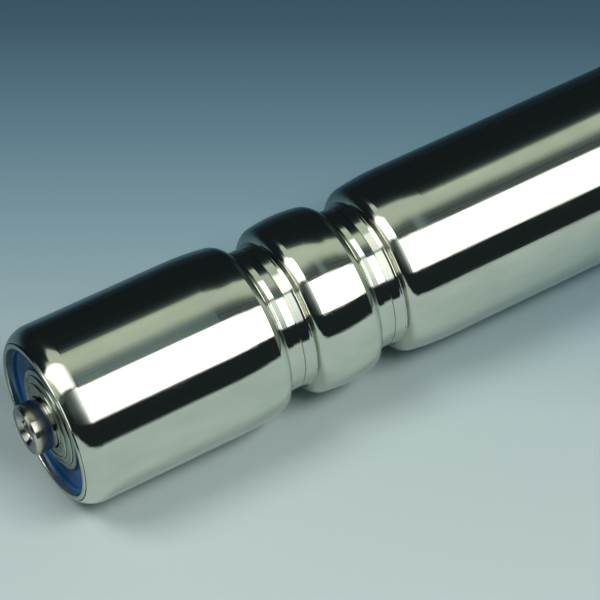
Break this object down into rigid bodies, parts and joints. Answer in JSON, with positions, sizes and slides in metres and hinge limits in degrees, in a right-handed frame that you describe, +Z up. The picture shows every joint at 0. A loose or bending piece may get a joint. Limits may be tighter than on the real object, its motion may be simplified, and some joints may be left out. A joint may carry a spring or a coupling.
{
  "type": "conveyor roller",
  "caption": "Polished steel conveyor roller with rolled belt grooves near one end, ball bearings in blue housings and a tapped fixed axle.",
  "frame": {"origin": "centre of the roller, on its axis", "axes": "+X along the roller's axis, away from the grooved end; +Z up"},
  "size_m": [0.2084, 0.05, 0.05],
  "materials": {
    "polished_steel": "mirror-polished stainless steel tube",
    "axle_steel": "bright drawn steel",
    "cup_steel": "bright zinc-plated pressed steel",
    "cover_steel": "zinc-plated pressed steel",
    "blue_polyamide": "moulded blue polyamide, satin",
    "dark_polyamide": "moulded black polyamide",
    "cage_polyamide": "glass-filled polyamide",
    "bearing_steel": "ground bearing steel",
    "ball_steel": "polished bearing steel",
    "shield_steel": "pressed steel sheet",
    "spring_steel": "phosphated spring steel"
  },
  "bodies": {
    "axle": {"axle": "axle_steel", "labyrinth_ring_left": "dark_polyamide", "inner_race_left": "bearing_steel", "axle_bush_left": "dark_polyamide", "retaining_ring_left": "spring_steel", "labyrinth_ring_right": "dark_polyamide", "inner_race_right": "bearing_steel", "axle_bush_right": "dark_polyamide", "retaining_ring_right": "spring_steel"},
    "roller": {"tube": "polished_steel", "end_cup_left": "cup_steel", "bearing_housing_left": "blue_polyamide", "dust_cover_left": "cover_steel", "outer_race_left": "bearing_steel", "outer_shield_left": "shield_steel", "inner_shield_left": "shield_steel", "end_cup_right": "cup_steel", "bearing_housing_right": "blue_polyamide", "dust_cover_right": "cover_steel", "outer_race_right": "bearing_steel", "outer_shield_right": "shield_steel", "inner_shield_right": "shield_steel"},
    "cage_left": {"bearing_balls_left": "ball_steel", "ball_cage_left": "cage_polyamide"},
    "cage_right": {"bearing_balls_right": "ball_steel", "ball_cage_right": "cage_polyamide"}
  },
  "joints": [
    {"name": "roller_spin", "type": "hinge", "parent": "axle", "child": "roller", "pos_m": [0, 0, 0], "axis": [1, 0, 0], "continuous": true},
    {"name": "cage_left_spin", "type": "hinge", "parent": "axle", "child": "cage_left", "pos_m": [-0.089, 0, 0], "axis": [1, 0, 0], "continuous": true},
    {"name": "cage_right_spin", "type": "hinge", "parent": "axle", "child": "cage_right", "pos_m": [0.089, 0, 0], "axis": [1, 0, 0], "continuous": true}
  ],
  "couplings": [
    {"joint": "cage_left_spin", "follows": "roller_spin", "ratio": 0.6011},
    {"joint": "cage_right_spin", "follows": "roller_spin", "ratio": 0.6011}
  ]
}
